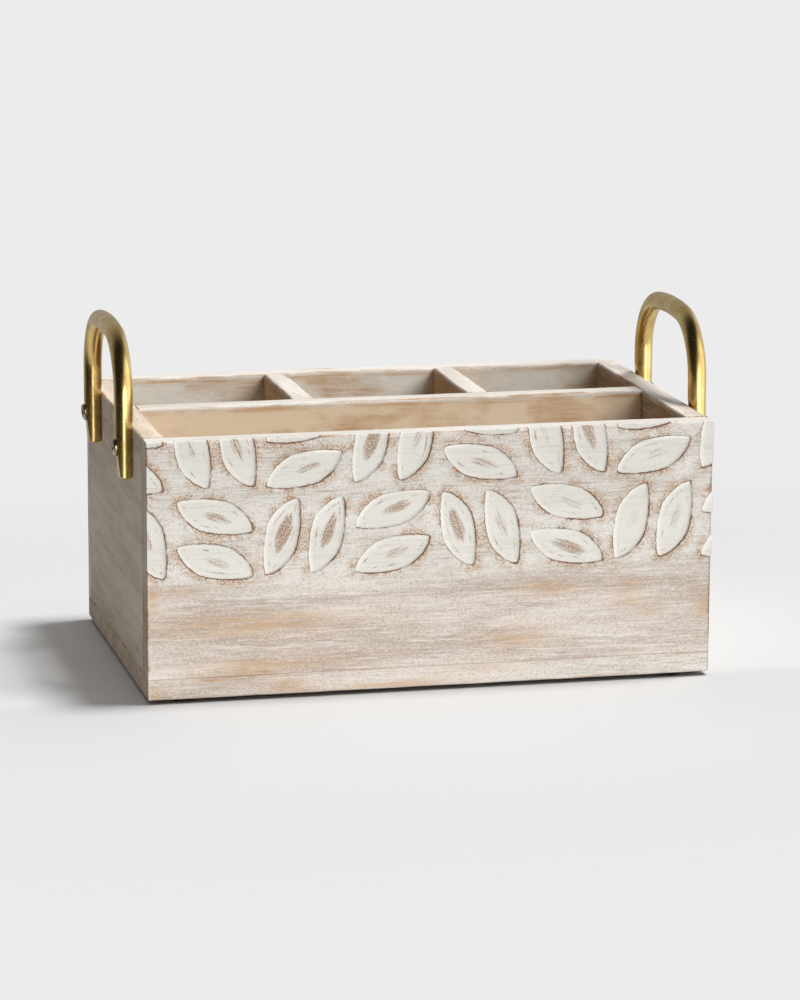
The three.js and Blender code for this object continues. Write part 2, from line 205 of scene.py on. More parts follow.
# Makes a piece from an array of points, quads and a few larger faces, with its named values per point.
# Sharp is the angle in degrees past which an edge between two faces shows.
def putMesh(name, points, quads, polygons=(), values=None, sharp=35.0):
    mesh = bpy.data.meshes.new(name)
    faces = [list(face) for face in polygons]
    sizes = np.concatenate([np.full(len(quads), 4), [len(face) for face in faces]]).astype(np.int32)
    corners = np.concatenate([quads.ravel(), *[np.array(face) for face in faces]]).astype(np.int32)
    mesh.vertices.add(len(points))
    mesh.vertices.foreach_set("co", (points * mm).astype(np.float32).ravel())
    mesh.loops.add(len(corners))
    mesh.loops.foreach_set("vertex_index", corners)
    mesh.polygons.add(len(sizes))
    mesh.polygons.foreach_set("loop_start", np.concatenate([[0], np.cumsum(sizes)[:-1]]).astype(np.int32))
    mesh.update(calc_edges=True)
    mesh.validate()
    mesh.shade_smooth()
    mesh.set_sharp_from_angle(angle=math.radians(sharp))
    for key, value in (values or {}).items():
        kind, slot = ("FLOAT", "value") if value.ndim == 1 else ("FLOAT_VECTOR", "vector")
        mesh.attributes.new(key, kind, "POINT").data.foreach_set(slot, value.astype(np.float32).ravel())
    piece = bpy.data.objects.new(name, mesh)
    bpy.context.scene.collection.objects.link(piece)
    return piece


# The quads of a sheet of point numbers, facing the way that its first index turns into its second
def sheetQuads(ids):
    return np.stack([ids[:-1, :-1], ids[1:, :-1], ids[1:, 1:], ids[:-1, 1:]], -1).reshape(-1, 4)


# The same for rings of points, each closed on itself
def ringQuads(ids):
    return sheetQuads(np.concatenate([ids, ids[:, :1]], 1))


# Sheets on the skin of a lattice as points and quads, and the lattice numbers of the points that they use
def latticeSheets(xs, ys, zs, sheets):
    used, quads = np.unique(np.concatenate([sheetQuads(sheet) for sheet in sheets]), return_inverse=True)
    i, j, k = np.unravel_index(used, (len(xs), len(ys), len(zs)))
    return np.stack([xs[i], ys[j], zs[k]], -1), quads.reshape(-1, 4), used


# The skin of a lattice of points: six sheets that share the points on their edges
def latticeBox(xs, ys, zs):
    ids = np.arange(len(xs) * len(ys) * len(zs)).reshape(len(xs), len(ys), len(zs))
    sheets = (ids[0].T, ids[-1], ids[:, 0], ids[:, -1].T, ids[:, :, 0].T, ids[:, :, -1])
    return latticeSheets(xs, ys, zs, sheets)[:2]


# A lattice box whose back is rings that shrink inwards, closed by one flat face
def openBackedBox(xs, ys, zs, insets):
    ids = np.arange(len(xs) * len(ys) * len(zs)).reshape(len(xs), len(ys), len(zs))
    sheets = (ids[0].T, ids[-1], ids[:, 0], ids[:, :, 0].T, ids[:, :, -1])
    points, quads, used = latticeSheets(xs, ys, zs, sheets)
    back = ids[:, -1]
    outer = np.concatenate([back[:-1, 0], back[-1, :-1], back[:0:-1, -1], back[0, :0:-1]])
    outer = np.searchsorted(used, outer)
    middle = np.array([(xs[0] + xs[-1]) / 2, ys[-1], (zs[0] + zs[-1]) / 2])
    half = np.array([(xs[-1] - xs[0]) / 2, 1, (zs[-1] - zs[0]) / 2])
    rings = []
    for inset in insets:
        rings.append(middle + (points[outer] - middle) * (half - np.array([inset, 0, inset])) / half)
    ringIds = len(points) + np.arange(len(insets) * len(outer)).reshape(len(insets), -1)
    ringIds = np.concatenate([outer[None], ringIds])
    quads = np.concatenate([quads, ringQuads(ringIds)])
    return np.concatenate([points, *rings]), quads, [ringIds[-1][::-1]]


# Quads that join rings of points, and a flat face over each end, turned to face outwards
def ringTube(rings):
    ids = np.arange(rings.shape[0] * rings.shape[1]).reshape(rings.shape[:2])
    return rings.reshape(-1, 3), ringQuads(ids)[:, ::-1], [ids[0][::-1], ids[-1]]


# The eased edges of a board, in shares of their radius: where the points stand near an edge, and how far
# the flat part's evenly spaced points keep from it. The radius wanders by a share of itself.
easing = {
    "near": (0, 0.16, 0.36, 0.6, 0.85, 1.1, 1.6, 2.6), "clear": 3,
    "wander": 0.22, "longest": 47.0, "most": 1.15, "least": 0.02,
}


# Places along a board's side, close together at both ends where its edges are eased
def nearEdges(low, high, radius, pitch):
    near, clear = np.array(easing["near"]) * radius, easing["clear"] * radius
    inner = np.linspace(low + clear, high - clear, max(2, round((high - low) / pitch)))
    return np.unique(np.concatenate([low + near, high - near, inner]).round(4))


# Squeezes the square corners of an outline onto arcs, as seen along one axis.
# The radius wanders a little and shrinks where the points are kept sharp.
def easeCorners(points, low, high, view, radii, seed, kept=0.0):
    u, v, along = {"plan": (0, 1, 2), "front": (0, 2, 1), "side": (1, 2, 0)}[view]
    for corner, radius in enumerate(radii):
        share = 1 + easing["wander"] * wobble(points[:, along], seed + corner, easing["longest"])
        wander = np.minimum(radius * share, radius * easing["most"])
        wander = np.maximum(wander * (1 - kept), easing["least"])
        signU, signV = ((-1, -1), (1, -1), (1, 1), (-1, 1))[corner]
        centreU = (high[u] if signU > 0 else low[u]) - signU * wander
        centreV = (high[v] if signV > 0 else low[v]) - signV * wander
        du = signU * (points[:, u] - centreU) / wander
        dv = signV * (points[:, v] - centreV) / wander
        within = (du > 0) & (dv > 0)
        squeeze = np.where(within, np.maximum(du, dv) / np.maximum(np.hypot(du, dv), tiny), 1)
        points[:, u] = np.where(within, centreU + signU * wander * du * squeeze, points[:, u])
        points[:, v] = np.where(within, centreV + signV * wander * dv * squeeze, points[:, v])


# How far each point of a board's skin is from the nearest edge: the middle one of its three distances
def edgeDistance(points, low, high):
    return np.sort(np.minimum(points - low, high - points), 1)[:, 1]


def finishPiece(piece, slot, *nodes):
    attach(piece, "root")
    if nodes:
        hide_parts(*nodes)


# The washed wood's noises, stretched along the grain: their scale per metre along and across it
grain = {
    "fine": {"scale": (60, 1300, 1300), "detail": 4, "roughness": 0.6},
    "brush": {"scale": (30, 780, 780), "shift": (3, 1, 7), "detail": 5, "roughness": 0.62, "distortion": 0.3},
    "broad": {"scale": (9, 75, 75), "shift": (5, 2, 1), "detail": 4, "roughness": 0.6, "distortion": 0.4},
    "cloud": {"scale": (22, 48, 48), "shift": (1, 9, 4), "detail": 5, "roughness": 0.6, "distortion": 0.2},
    "speck": {"scale": (900, 1700, 1700), "shift": (2, 2, 2), "detail": 3, "roughness": 0.75},
}
tones = {
    "darkWood": colour(120, 88, 60), "paleWood": colour(182, 142, 102),
    "cream": colour(220, 211, 200), "dullCream": colour(194, 179, 167),
    "white": colour(231, 228, 222), "dullWhite": colour(219, 214, 206),
    "paleFleck": colour(240, 236, 230), "darkFleck": colour(156, 131, 106),
    "brushed": colour(236, 231, 225), "line": colour(166, 151, 134),
    "paleInner": colour(226, 214, 196), "brownInner": colour(190, 142, 92),
    # The stain tone is the dark line round a leaf, partly crevice stain and partly painted shade
    "tan": colour(199, 155, 103), "stainAndShade": colour(112, 82, 60),
    "leafWhite": colour(232, 230, 222), "leafBrown": colour(154, 116, 82),
}
# Where each effect of the wash starts and ends in its noise, and its share at both where that isn't 0 and 1
washSteps = {
    "wood": (0.35, 0.65), "dull": (0.38, 0.62), "paleFleck": (0.5, 0.62, 0, 0.4),
    "darkFleck": (0.48, 0.36, 0, 0.5), "brushed": (0.52, 0.62, 0, 0.6), "line": (0.5, 0.66),
    "lineWhere": (0.3, 0.7), "paleInner": (0.42, 0.62), "brownInner": (0.46, 0.62, 0, 0.5),
    "tanBrush": (0.32, 0.6), "tanSpeck": (0.3, 0.55, 0.6, 1), "bare": (0.62, 0.8),
    "roughness": (0.3, 0.7, 0.74, 0.9),
}
washShares = {"line": 0.7, "plainInner": 0.5, "tan": 0.85}
thinShares = {"brush": 0.5, "cloud": 0.5, "speck": 0.12, "wear": 0.3}
heightShares = {"fine": 0.5, "speck": 0.35, "bare": -0.5}


# The washed wood, shared by every board: brown wood under a thin white wash, with the grain along the
# place's X. Pale turns the wash from cream to white, Wear takes it off and Tan lays browns in it. The dark
# line round a carved leaf is partly stain in its crevice and partly painted shade, and Shade is the share
# of the inner tone, which is painted shade on the right end board and partly so on the cross dividers.
def makeWashGroup():
    tree, given, result = newGroup(
        "washedWood",
        {"Place": "Vector", "Pale": "Float", "Wear": "Float", "Stain And Shade": "Float", "Tan": "Float",
         "Shade": "Float", "Inner Tone And Shade": "Color"},
        {"Colour": "Color", "Roughness": "Float", "Height": "Float"},
    )
    noises = {name: longNoise(tree, given["Place"], **shape) for name, shape in grain.items()}

    def share(name, noiseName):
        return step(tree, noises[noiseName], *washSteps[name])

    wood = blendColours(tree, share("wood", "brush"), tones["darkWood"], tones["paleWood"])
    cream = blendColours(tree, share("dull", "broad"), tones["cream"], tones["dullCream"])
    white = blendColours(tree, share("dull", "broad"), tones["white"], tones["dullWhite"])
    wash = blendColours(tree, given["Pale"], cream, white)
    wash = blendColours(tree, share("paleFleck", "speck"), wash, tones["paleFleck"])
    wash = blendColours(tree, share("darkFleck", "speck"), wash, tones["darkFleck"])
    wash = blendColours(tree, share("brushed", "brush"), wash, tones["brushed"])
    lines = product(tree, share("line", "fine"), share("lineWhere", "broad"), washShares["line"])
    wash = blendColours(tree, lines, wash, tones["line"])
    # The inner tone, which is painted shade on some boards' faces inside the caddy
    inner = blendColours(tree, share("paleInner", "brush"), given["Inner Tone And Shade"], tones["paleInner"])
    inner = blendColours(tree, washShares["plainInner"], inner, given["Inner Tone And Shade"])
    inner = blendColours(tree, share("brownInner", "cloud"), inner, tones["brownInner"])
    wash = blendColours(tree, given["Shade"], wash, inner)
    tan = product(tree, given["Tan"], share("tanBrush", "brush"), share("tanSpeck", "speck"))
    wash = blendColours(tree, product(tree, tan, washShares["tan"]), wash, tones["tan"])
    # The wash is thin where the noises are high, and gone where wear is added
    thinBy = {**noises, "wear": given["Wear"]}
    thin = total(tree, *(product(tree, thinBy[name], part) for name, part in thinShares.items()))
    bare = step(tree, thin, *washSteps["bare"])
    tone = blendColours(tree, bare, wash, wood)
    # The dark line round a leaf: partly crevice stain, partly painted shade
    tone = blendColours(tree, calc(tree, "MINIMUM", given["Stain And Shade"], 1.0), tone, tones["stainAndShade"])
    tree.links.new(tone, result["Colour"])
    tree.links.new(share("roughness", "speck"), result["Roughness"])
    heightBy = {**noises, "bare": bare}
    height = total(tree, *(product(tree, heightBy[name], part) for name, part in heightShares.items()))
    tree.links.new(height, result["Height"])
    return tree


washGroup = makeWashGroup()

# The marks round a carved leaf: where each starts and ends, in millimetres from the leaf's outline, which
# are negative inside it, or in a noise
leafLook = {
    "speckle": {"scale": 1400, "detail": 3, "roughness": 0.75},
    "patchy": {"scale": 120, "detail": 3, "roughness": 0.6},
    "uneven": {"scale": 420, "detail": 2},
    "streak": {"scale": (0.1, 1.5, 1.0), "detail": 4, "roughness": 0.65},
    # The thicker entry widens the dark line on a leaf's lower right as painted shade
    "ragged": (0.3, 0.7, -0.25, 0.25), "shadeThicker": -0.3, "outside": (-0.1, 0.3),
    "lineOuter": (0.8, 0.35), "lineInner": (-0.2, 0.1), "linePatchy": (0.34, 0.58, 0.3, 1),
    "haloReach": (5.5, 0.6), "haloSpeckle": (0.5, 0.58), "haloPatchy": (0.4, 0.56, 0.15, 0.9),
    "crestShare": 0.75, "crest": (0.8, 1.12), "crestSpeckle": (0.42, 0.56, 0.25, 1),
    "ridgeOuter": (-2.3, -2.8), "ridgeInner": (-3.7, -3.2), "ridgeStreak": (0.5, 0.6),
    "ridgePatchy": (0.46, 0.6), "ridgeShare": 0.8, "within": (-1.0, -1.8), "white": (0.0, -0.3),
    "glowReach": (6.5, 0.5), "glowPatchy": (0.42, 0.58), "glowSpeckle": (0.42, 0.56, 0.3, 1),
}


# A carved front's browns and whites from the distance to the nearest leaf's outline and the place in it:
# a dark line outside, partly crevice stain and partly painted shade, and wider on the lower right as painted
# shade, a speckled halo outside, a rubbed crest, thin ridge lines inside and a white shoulder
def makeLeafGroup():
    tree, given, result = newGroup(
        "leafMarks",
        {"Place": "Vector", "Leaf": "Float", "In Leaf": "Vector", "Crest": "Float", "Lower Right": "Float"},
        {"Stain And Shade": "Float", "Brown": "Float", "White": "Float", "Tan": "Float"},
    )
    leaf, place = given["Leaf"], given["Place"]
    names = ("speckle", "patchy", "uneven")
    speckle, patchy, uneven = (noise(tree, place, **leafLook[name]) for name in names)
    streak = longNoise(tree, given["In Leaf"], **leafLook["streak"])

    def share(name, value=leaf):
        return step(tree, value, *leafLook[name])

    ragged = total(tree, leaf, share("ragged", uneven))
    # Painted shade: the dark line is wider on the leaf's lower right, the side turned from the light
    thickWithShade = total(tree, ragged, product(tree, given["Lower Right"], leafLook["shadeThicker"]))
    # The dark line round a leaf: partly crevice stain, partly painted shade
    line = product(tree, share("lineOuter", thickWithShade), share("lineInner", ragged), share("linePatchy", patchy))
    halo = product(tree, share("haloReach"), share("outside"), share("haloSpeckle", speckle))
    halo = product(tree, halo, share("haloPatchy", patchy))
    raised = total(tree, product(tree, given["Crest"], leafLook["crestShare"]), streak)
    rubbed = product(tree, share("crest", raised), share("crestSpeckle", speckle))
    ridge = product(tree, share("ridgeOuter"), share("ridgeInner"), share("ridgeStreak", streak))
    ridge = product(tree, ridge, share("ridgePatchy", patchy), leafLook["ridgeShare"])
    inside = product(tree, calc(tree, "MAXIMUM", rubbed, ridge), share("within"))
    glow = product(tree, share("glowReach"), share("outside"), share("glowPatchy", patchy))
    tree.links.new(line, result["Stain And Shade"])
    tree.links.new(calc(tree, "MAXIMUM", halo, inside), result["Brown"])
    tree.links.new(share("white"), result["White"])
    tree.links.new(product(tree, glow, share("glowSpeckle", speckle)), result["Tan"])
    return tree


leafGroup = makeLeafGroup()

# How the wash wears along a board's edges, and how a carved leaf keeps it
boardLook = {
    "ragged": {"scale": (60, 300, 300), "detail": 4, "roughness": 0.6}, "raggedMm": -3.0,
    "wornEdge": (0.9, -1.4), "onLeaf": (0.2, -0.6), "leafKeeps": -0.4, "leafWhite": 0.6,
    "bump": 0.35, "bumpDepth": 0.0004, "specular": 0.25,
}


def makeBoardMaterial(name, grainAlong, shift, wear, carved=False):
    material, tree, shader = newMaterial(name)
    turn = (0, 0, math.radians(90)) if grainAlong == "y" else (0, 0, 0)
    place = addNode(tree, "ShaderNodeTexCoord").outputs["Object"]
    mapping = {"Vector": place, "Rotation": turn, "Location": shift}
    place = addNode(tree, "ShaderNodeMapping", mapping).outputs[0]
    ragged = product(tree, longNoise(tree, place, **boardLook["ragged"]), boardLook["raggedMm"])
    edge = total(tree, attribute(tree, "edgeMm"), ragged)
    worn = product(tree, step(tree, edge, *boardLook["wornEdge"]), wear["edge"])
    inside = attribute(tree, "inside")
    worn = total(tree, worn, wear["all"], product(tree, inside, wear["inside"]))
    marks = {"Stain And Shade": 0.0, "Brown": 0.0, "White": 0.0, "Tan": 0.0}
    if carved:
        leaf = attribute(tree, "leafMm")
        marks = addNode(tree, "ShaderNodeGroup", {
            "Place": place, "Leaf": leaf, "In Leaf": attribute(tree, "inLeaf", "Vector"),
            "Crest": attribute(tree, "crest"), "Lower Right": attribute(tree, "shadedLowerRight"),
        }, node_tree=leafGroup).outputs
        kept = product(tree, step(tree, leaf, *boardLook["onLeaf"]), boardLook["leafKeeps"])
        worn = total(tree, worn, kept)
    wash = addNode(tree, "ShaderNodeGroup", {
        "Place": place, "Pale": attribute(tree, "pale"), "Wear": worn, "Stain And Shade": marks["Stain And Shade"],
        "Tan": calc(tree, "MAXIMUM", attribute(tree, "tan"), marks["Tan"]),
        "Shade": product(tree, inside, wear["shade"]), "Inner Tone And Shade": wear["innerToneAndShade"],
    }, node_tree=washGroup).outputs
    white = product(tree, marks["White"], boardLook["leafWhite"]) if carved else 0.0
    base = blendColours(tree, white, wash["Colour"], tones["leafWhite"], "LIGHTEN")
    base = blendColours(tree, marks["Brown"], base, tones["leafBrown"])
    base = blendColours(tree, 1.0, base, wear["dim"], "MULTIPLY")
    # Painted shade: the left side of the front and base boards takes the darker left tone
    shadedLeftTone = blendColours(tree, 1.0, base, wear["left"], "MULTIPLY")
    base = blendColours(tree, attribute(tree, "shadedLeftSide"), base, shadedLeftTone)
    normal = bumpNormal(tree, wash["Height"], boardLook["bump"], boardLook["bumpDepth"])
    feedAll(tree, shader, {
        "Base Color": base, "Roughness": wash["Roughness"], "Normal": normal,
        "Specular IOR Level": boardLook["specular"],
    })
    return material


# The boards: their CAD nodes, the radii of their edges as seen in plan, from the front and from the side,
# the face that looks into the caddy as an axis and a sign, which is 0 for both faces, and their wear and
# painted shade. Dim darkens the whole board, and left darkens the left side of the front and base boards
# as a painted shade. Shade sets the share of the inner tone, which is painted shade on the right end board
# and partly so on the cross dividers.
out, rim, joint = 1.6, 1.3, 0.3
plainWearAndShade = {
    "edge": 0.45, "all": 0.0, "inside": 0.1, "shade": 0.3, "innerToneAndShade": colour(224, 194, 156),
    # Left is a painted shade for the left side of the front and base boards
    "dim": (1, 1, 1, 1), "left": (0.32, 0.29, 0.26, 1),
}
crossDivider = {
    "grain": "y", "insideFace": (0, 0),
    "plan": (joint,) * 4, "front": (joint, joint, rim, rim), "side": (joint,) * 4,
    # A warm brown inner tone on both broad faces, partly the wood's own and partly painted shade
    "wear": {"shade": 0.9, "innerToneAndShade": colour(200, 158, 96)},
}
boards = {
    "baseBoard": {
        "node": "base_board", "grain": "x", "seed": 1, "insideFace": (2, 1),
        "plan": (out,) * 4, "front": (out, out, joint, joint), "side": (out, out, joint, joint),
        "wear": {"edge": 0.22, "all": 0.03},
    },
    "backPanel": {
        "node": "back_panel", "grain": "x", "seed": 2, "insideFace": (1, -1),
        "plan": (joint, joint, out, out), "front": (joint, joint, out, out),
        "side": (joint, joint, out, rim), "wear": {"shade": 0.6, "innerToneAndShade": colour(212, 214, 204)},
    },
    "leftEndPanel": {
        "node": "left_end_panel", "grain": "y", "seed": 3, "insideFace": (0, 1),
        "plan": (joint,) * 4, "front": (joint, joint, rim, out), "side": (joint,) * 4,
        "wear": {"all": 0.05, "dim": (1.0, 0.92, 0.83, 1)},
    },
    "rightEndPanel": {
        "node": "right_end_panel", "grain": "y", "seed": 4, "insideFace": (0, -1),
        "plan": (joint,) * 4, "front": (joint, joint, out, rim), "side": (joint,) * 4,
        # The dark inner tone is painted shade on the face that looks into the caddy
        "wear": {"shade": 0.95, "innerToneAndShade": colour(142, 122, 100)},
    },
    "longDivider": {
        "node": "long_divider", "grain": "x", "seed": 5, "insideFace": (1, 0),
        "plan": (joint,) * 4, "front": (joint,) * 4, "side": (joint, joint, rim, rim),
        "wear": {"shade": 0.9, "innerToneAndShade": colour(231, 208, 176), "dim": (0.94, 0.94, 0.93, 1)},
    },
    "leftCrossDivider": {**crossDivider, "node": "left_cross_divider", "seed": 6},
    "rightCrossDivider": {**crossDivider, "node": "right_cross_divider", "seed": 7},
}
# All boards: their mesh's pitch in millimetres, how far each seed shifts the grain in metres, and the share
# of white in the wash, which grows towards the right on the base board
board = {
    "pitch": 6.0, "seedShift": (0.37, 0.21, 0.53), "pale": 0.6, "skin": 0.1,
    "basePale": 0.15, "basePaler": 0.75, "palerFrom": 30, "palerRun": 90,
}

# Worn patches low on the front: the middle along X and above the underside, half lengths, strength
wornPatches = [
    (-147, 55, 4, 10, 0.9), (-134, 57, 12, 3, 0.6), (-95, 38, 42, 5, 1.0), (-75, 38, 26, 4, 0.7),
    (-80, 17, 32, 3, 0.9), (-105, 12, 26, 3, 0.5), (-76, 4, 10, 4, 0.9), (-20, 2.5, 32, 2, 0.8),
    (62, 50, 15, 4, 0.8), (106, 50, 9, 3, 0.6), (104, 41, 10, 3, 0.6), (116, 34, 7, 2, 0.5),
    (147, 36, 5, 6, 0.8), (45, 24, 16, 5, 0.7), (-145, 3, 5, 3, 0.7), (30, 8, 24, 2, 0.4),
]
patchFalloff = 0.9
# How thin the skin of an inner face is and where its tone fades in below the rim, then the rubbed line
innerFace = {"skin": 0.05, "fadeFrom": 1, "fadeRun": 3, "farBelow": 10.0}
rub = {"below": 2.4, "half": 1.2, "longest": 70, "gain": 1.6, "share": 0.75, "full": 1.8, "strength": 2.2}


# Soft ovals of worn wash: the strongest of the patches at each point
def tanPatches(points):
    strongest = np.zeros(len(points))
    for x, z, halfX, halfZ, strength in wornPatches:
        away = ((points[:, 0] - x) / halfX) ** 2 + ((points[:, 2] - baseLow[2] - z) / halfZ) ** 2
        strongest = np.maximum(strongest, strength * np.exp(-away * patchFalloff))
    return strongest


# 1 on the face that looks into the caddy, or on both broad faces of a divider, fading at the rim
def insideMask(points, low, high, face):
    axis, sign = face
    toHigh, toLow = high[axis] - points[:, axis], points[:, axis] - low[axis]
    away = toHigh if sign > 0 else toLow if sign < 0 else np.minimum(toHigh, toLow)
    below = (high[2] - points[:, 2]) if axis != 2 else np.full(len(points), innerFace["farBelow"])
    faded = np.clip((below - innerFace["fadeFrom"]) / innerFace["fadeRun"], 0, 1)
    return (away < innerFace["skin"]) * faded


# A broken line of rubbed wash a little under the rim, on the faces that look into the caddy
def rubbedLine(points, low, high, face, seed):
    band = np.exp(-((high[2] - points[:, 2] - rub["below"]) / rub["half"]) ** 2)
    broken = wobble(points[:, 0] + points[:, 1], seed, rub["longest"]) * rub["gain"] + rub["share"]
    line = np.minimum(band * np.clip(broken, 0, 1) * rub["full"], 1)
    return rub["strength"] * line * insideMask(points, low, high, face)


def makeBoard(name, settings):
    low, high = (np.array(corner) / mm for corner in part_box(settings["node"]))
    xs, ys, zs = (nearEdges(low[axis], high[axis], out, board["pitch"]) for axis in range(3))
    points, quads = latticeBox(xs, ys, zs)
    face, seed = settings["insideFace"], settings["seed"]
    values = {
        "edgeMm": edgeDistance(points, low, high),
        "inside": insideMask(points, low, high, face),
        "tan": rubbedLine(points, low, high, face, seed),
        "pale": np.full(len(points), board["pale"]),
        "shadedLeftSide": np.zeros(len(points)),
    }
    if name == "baseBoard":
        toRight = np.clip((points[:, 0] - board["palerFrom"]) / board["palerRun"], 0, 1)
        values["tan"] = tanPatches(points)
        values["pale"] = board["basePale"] + board["basePaler"] * toRight
        # Painted shade on the base board's left side
        values["shadedLeftSide"] = (points[:, 0] < low[0] + board["skin"]) * 1.0
    for view in ("plan", "front", "side"):
        easeCorners(points, low, high, view, settings[view], seed)
    piece = putMesh(name, points, quads, values=values)
    shift = tuple(part * seed for part in board["seedShift"])
    wear = {**plainWearAndShade, **settings["wear"]}
    piece.data.materials.append(makeBoardMaterial(name + "Wood", settings["grain"], shift, wear))
    finishPiece(piece, "washed_wood", settings["node"])


# The carved front: the CAD's lattice of raised leaves. A leaf's widest places are drawn apart along it.
carving = {
    "pitch": 46.45, "firstColumn": 35.3, "rowBelowRim": 5, "rows": 2,
    "leafLength": 42, "leafWidth": 18.6, "drawShare": 0.46, "pairSpacing": 23.5, "tilt": math.radians(23.5),
    "widthPower": 4 / 3, "lengthPower": 1.6, "even": 1.45, "leafShift": 7.3,
    "height": 1.0, "shoulder": 2.6, "crown": 0.12, "crownRun": 3.5,
}
# The front's points in millimetres: steps at an edge, the carved band, and the rings that close the back
frontMesh = {
    "edgeSteps": (0, 0.25, 0.55, 0.9, 1.3), "band": 76, "columnPitch": 0.62, "rowPitch": 0.56,
    "plainPitch": 3.4, "firstColumn": 1.9, "firstRow": 2.5, "lastGap": 1.5, "bandGap": 1,
    "depths": (3.0, 6.0, 9.0), "backInsets": (0.3, 0.6, 1.0, 1.5, 2.5),
    "snap": 0.3, "loose": 1.4, "skin": 0.01, "sharp": 40, "seed": 11, "leafReach": 8, "insideFace": (1, 1),
    "plan": (out, out, joint, joint), "front": (joint, joint, out, out), "side": (joint, joint, rim, out),
}
# Where the front's wash is kept or rubbed, in millimetres, where shade is painted on the leaves' lower
# right and the front's left side, and the ovals of the rubbed crests
frontWearAndShade = {
    "plainLow": 3, "plainEdge": 1.4, "nearFront": 4, "leafGain": 1.5, "leafEdge": 30, "leafKept": 0.9,
    "tanFrom": 0.5, "paleFrom": 50, "paleRun": 18, "leafDepth": 3, "noLeaf": 20.0,
    # The way to a leaf's lower right, where shade is painted, and how thin the painted shade on the left side
    # is
    "shadedLowerRight": (0.8, -0.6), "leftSkin": 0.1, "shift": (0.4, 0.1, 0.2),
}
crest = {
    "along": 2, "halfLength": 7, "longer": 4, "halfWidth": 2.5, "wider": 1.2, "falloff": 0.7,
    "least": 0.55, "stronger": 0.5, "inside": -0.5, "fullX": -40, "fadeRun": 500, "faded": 0.6,
    "chanceTurn": 12.9898, "chanceGain": 43758.5453,
}


# Middle, angle and hand of every leaf, from one column outside the panel's left end to one past its
# right end. The lean changes every second column, and the pair turns a quarter from cell to cell.
def leafList():
    leaves = []
    count = math.ceil((panelHigh[0] - panelLow[0] - carving["firstColumn"]) / carving["pitch"] + 0.5)
    for column in range(-1, count):
        lean = 1 if (column + 1) % 4 < 2 else -1
        x = panelLow[0] + carving["firstColumn"] + carving["pitch"] * column
        for row in range(carving["rows"]):
            z = rimZ - carving["rowBelowRim"] - carving["pitch"] * row
            upright = (column + 1 + row) % 2 > 0
            angle = math.pi / 2 + lean * carving["tilt"] if upright else -lean * carving["tilt"]
            for side in (-1, 1):
                offset = side * carving["pairSpacing"] / 2
                leaves.append((x + (offset if upright else 0), z + (0 if upright else offset), angle,
                               -lean if upright else lean))
    return leaves


# The distance to the nearest leaf outline in millimetres, negative inside, the way away from it, and the
# place in that leaf. The level is (width share)^(4/3) + (length share)^1.6, which is 1 on the outline,
# and the distance is the level's excess, made even along each ray, over its slope.
def leafField(x, z):
    halfLength, halfWidth = carving["leafLength"] / 2, carving["leafWidth"] / 2
    widthPower, lengthPower, even = carving["widthPower"], carving["lengthPower"], carving["even"]
    draw, far, leastSlope = carving["drawShare"], 1e3, 1e-6
    nearest = np.full(x.shape, far)
    away = np.zeros(x.shape + (2,))
    local = np.zeros(x.shape + (3,))
    for number, (leafX, leafZ, angle, hand) in enumerate(leafList()):
        cos, sin = math.cos(angle), math.sin(angle)
        u = (x - leafX) * cos + (z - leafZ) * sin
        v = -(x - leafX) * sin + (z - leafZ) * cos
        straight = u - hand * draw * v
        alongShare, acrossShare = np.abs(straight / halfLength), np.abs(v / halfWidth)
        level = acrossShare ** widthPower + alongShare ** lengthPower + tiny
        slopeU = lengthPower * alongShare ** (lengthPower - 1) / halfLength * np.sign(straight)
        slopeV = widthPower * acrossShare ** (widthPower - 1) / halfWidth * np.sign(v)
        slopeV = slopeV - hand * draw * slopeU
        slope = np.hypot(slopeU, slopeV) + leastSlope
        distance = np.clip(even * (level - level ** (1 - 1 / even)) / slope, -halfWidth, far)
        closer = distance < nearest
        nearest = np.where(closer, distance, nearest)
        way = np.stack([slopeU * cos - slopeV * sin, slopeU * sin + slopeV * cos], -1) / slope[..., None]
        away = np.where(closer[..., None], way, away)
        place = np.stack([straight, v, np.full(x.shape, number * carving["leafShift"])], -1)
        local = np.where(closer[..., None], place, local)
    return nearest, away, local


# A shoulder that rises as a quarter of an ellipse, then a slight crown
def leafHeight(distance):
    inward = np.maximum(-distance, 0)
    shoulder = np.sqrt(1 - (1 - np.minimum(inward / carving["shoulder"], 1)) ** 2)
    crown = 1 - np.exp(-inward / carving["crownRun"])
    return carving["height"] * ((1 - carving["crown"]) * shoulder + carving["crown"] * crown)


# A number from 0 to 1 that differs from leaf to leaf: the fraction of a large sine
def leafChance(local):
    return np.modf(np.abs(np.sin(local[:, 2] * crest["chanceTurn"]) * crest["chanceGain"]))[0]


# A soft oval on each leaf's crest, its size and strength by chance, weaker towards the right end
def crestOvals(x, distance, local):
    chance = leafChance(local)
    along = (local[:, 0] - crest["along"]) / (crest["halfLength"] + crest["longer"] * chance)
    across = local[:, 1] / (crest["halfWidth"] + crest["wider"] * chance)
    oval = along ** 2 + across ** 2
    strength = np.clip(crest["least"] + crest["stronger"] * chance, 0, 1)
    towardLeft = np.clip(1 - (x - crest["fullX"]) / crest["fadeRun"], crest["faded"], 1)
    return np.exp(-oval * oval * crest["falloff"]) * strength * towardLeft * (distance < crest["inside"])


